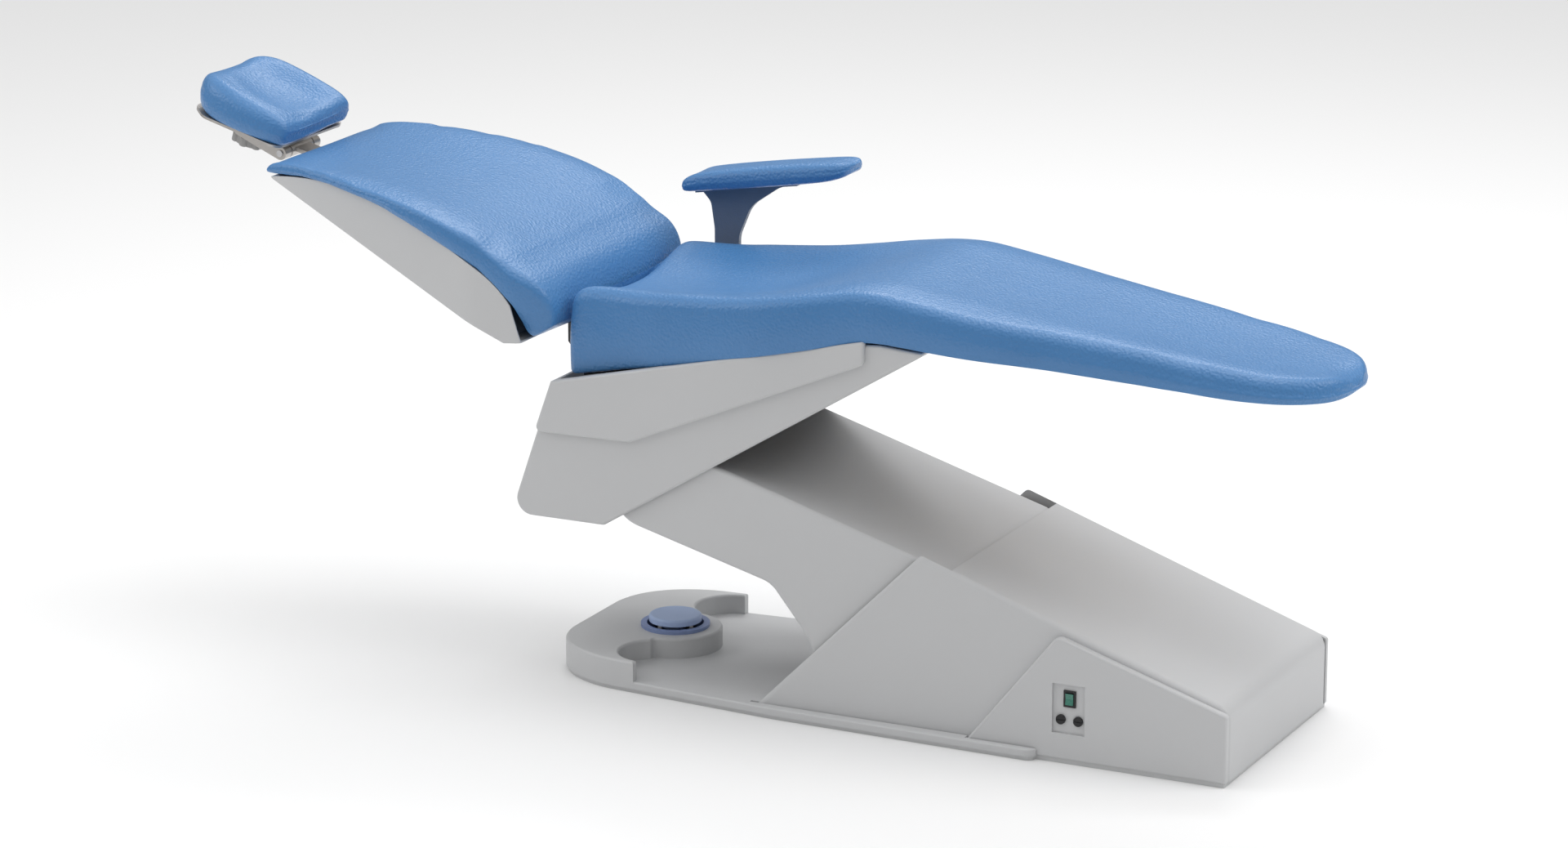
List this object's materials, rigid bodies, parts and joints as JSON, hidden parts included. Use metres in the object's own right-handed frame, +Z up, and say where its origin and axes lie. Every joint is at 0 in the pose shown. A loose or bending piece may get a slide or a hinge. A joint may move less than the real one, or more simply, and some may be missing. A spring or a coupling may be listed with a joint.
{
  "type": "dental patient chair",
  "caption": "Reclining treatment chair on a floor base: level lifting seat with leg rest, powered back, adjustable headrest, swing-out armrest and foot switch.",
  "frame": {"origin": "centre of the four floor anchor holes, on the underside of the base plate", "axes": "+Z up from the floor, +X towards the foot end along the chair, -Y towards the patient's right-hand side"},
  "size_m": [1.8229, 0.4792, 0.8208],
  "materials": {
    "frame_steel": "dark grey powder coat",
    "plate_paint": "light grey coat",
    "bright_steel": "turned and ground",
    "bronze": "sintered bearing bronze",
    "white_cover": "moulded, fine satin",
    "upholstery": "fine grained, soft sheen",
    "switch_ring": "satin",
    "switch_cap": "scaly non-slip texture",
    "black_plastic": "satin",
    "green_plastic": "gloss",
    "armrest_metal": "fine grey-blue coat",
    "headrest_metal": "brushed",
    "grey_plastic": "matte",
    "plywood": "sealed"
  },
  "bodies": {
    "base": {"base_plate": "plate_paint", "floor_cover": "white_cover", "foot_switch_ring": "switch_ring", "foot_switch_body": "black_plastic", "housing_cover": "white_cover", "side_panel_left": "white_cover", "side_panel_right": "white_cover", "rocker_frame": "black_plastic", "fuse_holders": "black_plastic", "cable_gland": "black_plastic", "base_frame": "frame_steel", "actuator_clevis": "frame_steel", "base_pivot_shaft": "bright_steel", "base_shaft_clips": "bright_steel", "base_link_pins": "bright_steel", "lift_actuator_body": "frame_steel", "lift_actuator_pin": "bright_steel", "control_box": "black_plastic"},
    "foot_gimbal": {"foot_switch_gimbal": "bright_steel"},
    "foot_cap": {"foot_switch_cap": "switch_cap"},
    "rocker": {"rocker_switch": "green_plastic"},
    "fuse_front": {"fuse_cap_front": "black_plastic"},
    "fuse_rear": {"fuse_cap_rear": "black_plastic"},
    "lift_arm": {"main_arm": "frame_steel", "arm_cover": "white_cover", "base_bushes": "bronze", "seat_bushes": "bronze", "lift_lever_pin": "bright_steel"},
    "follower": {"follower_links": "frame_steel"},
    "lift_rod": {"lift_actuator_rod": "bright_steel"},
    "seat": {"seat_frame": "frame_steel", "seat_pivot_shaft": "bright_steel", "seat_shaft_clips": "bright_steel", "seat_link_pins": "bright_steel", "leg_rest_board": "plywood", "leg_rest_brackets": "frame_steel", "support_cover": "white_cover", "seat_side_panel_left": "white_cover", "seat_side_panel_right": "white_cover", "seat_cushion": "upholstery", "recline_brackets": "frame_steel", "recline_pin": "bright_steel", "back_actuator_body": "frame_steel", "back_actuator_mount": "frame_steel", "armrest_socket": "frame_steel"},
    "backrest": {"back_frame": "frame_steel", "back_shell": "white_cover", "back_cushion": "upholstery", "back_lever_pin": "bright_steel", "headrest_guide": "headrest_metal"},
    "back_rod": {"back_actuator_rod": "bright_steel"},
    "headrest_slide": {"headrest_bar": "headrest_metal", "headrest_hinge_pin": "bright_steel"},
    "headrest_link": {"headrest_fork": "headrest_metal", "headrest_tilt_pin": "bright_steel"},
    "headrest": {"headrest_plate": "headrest_metal", "headrest_cushion": "upholstery"},
    "lock_knob": {"headrest_lock_knob": "grey_plastic"},
    "armrest": {"armrest_bracket": "armrest_metal", "armrest_pad": "upholstery"}
  },
  "joints": [
    {"name": "foot_switch_pitch", "type": "hinge", "parent": "base", "child": "foot_gimbal", "pos_m": [-0.388, 0, 0.04], "axis": [0, 1, 0], "range_deg": [-4, 4], "stiffness_Nm_per_rad": 6},
    {"name": "foot_switch_roll", "type": "hinge", "parent": "foot_gimbal", "child": "foot_cap", "pos_m": [-0.388, 0, 0.04], "axis": [1, 0, 0], "range_deg": [-4, 4], "stiffness_Nm_per_rad": 6},
    {"name": "mains_rocker", "type": "hinge", "parent": "base", "child": "rocker", "pos_m": [0.327, -0.192, 0.095], "axis": [1, 0, 0], "range_deg": [-7, 7]},
    {"name": "fuse_cap_front_turn", "type": "hinge", "parent": "base", "child": "fuse_front", "pos_m": [0.314, -0.196, 0.064], "axis": [0, -1, 0], "range_deg": [0, 45]},
    {"name": "fuse_cap_rear_turn", "type": "hinge", "parent": "base", "child": "fuse_rear", "pos_m": [0.34, -0.196, 0.064], "axis": [0, -1, 0], "range_deg": [0, 45]},
    {"name": "lift", "type": "hinge", "parent": "base", "child": "lift_arm", "pos_m": [0.121, 0, 0.18], "axis": [0, 1, 0], "range_deg": [-16, 16]},
    {"name": "lift_follower", "type": "hinge", "parent": "base", "child": "follower", "pos_m": [0.121, 0, 0.14], "axis": [0, 1, 0], "range_deg": [-16.2, 16.2]},
    {"name": "lift_rod_travel", "type": "slide", "parent": "base", "child": "lift_rod", "axis": [-1, 0, 0], "range_m": [-0.026, 0.026]},
    {"name": "seat_level", "type": "hinge", "parent": "lift_arm", "child": "seat", "pos_m": [-0.37759, 0, 0.32769], "axis": [0, 1, 0], "range_deg": [-16.2, 16.2]},
    {"name": "recline", "type": "hinge", "parent": "seat", "child": "backrest", "pos_m": [-0.522, 0, 0.548], "axis": [0, 1, 0], "range_deg": [-15, 45]},
    {"name": "back_rod_travel", "type": "slide", "parent": "seat", "child": "back_rod", "axis": [-1, 0, 0], "range_m": [-0.034, 0.1]},
    {"name": "headrest_height", "type": "slide", "parent": "backrest", "child": "headrest_slide", "axis": [-0.9659, 0, 0.2588], "range_m": [0, 0.06]},
    {"name": "headrest_swing", "type": "hinge", "parent": "headrest_slide", "child": "headrest_link", "pos_m": [-1.019, 0, 0.707], "axis": [0, 1, 0], "range_deg": [-25, 8]},
    {"name": "headrest_tilt", "type": "hinge", "parent": "headrest_link", "child": "headrest", "pos_m": [-1.09, 0, 0.738], "axis": [0, 1, 0], "range_deg": [-30, 6]},
    {"name": "headrest_lock", "type": "hinge", "parent": "headrest", "child": "lock_knob", "pos_m": [-1.09, 0, 0.738], "axis": [-0.2756, 0, -0.9613], "range_deg": [0, 180]},
    {"name": "armrest_swivel", "type": "hinge", "parent": "seat", "child": "armrest", "pos_m": [-0.406, 0.212, 0.43], "axis": [0, 0, 1], "range_deg": [0, 90]}
  ],
  "couplings": [
    {"joint": "lift_follower", "follows": "lift", "ratio": 1},
    {"joint": "seat_level", "follows": "lift", "ratio": -1},
    {"joint": "lift_rod_travel", "follows": "lift", "m_per_rad": 0.088},
    {"joint": "back_rod_travel", "follows": "recline", "m_per_rad": 0.123}
  ]
}
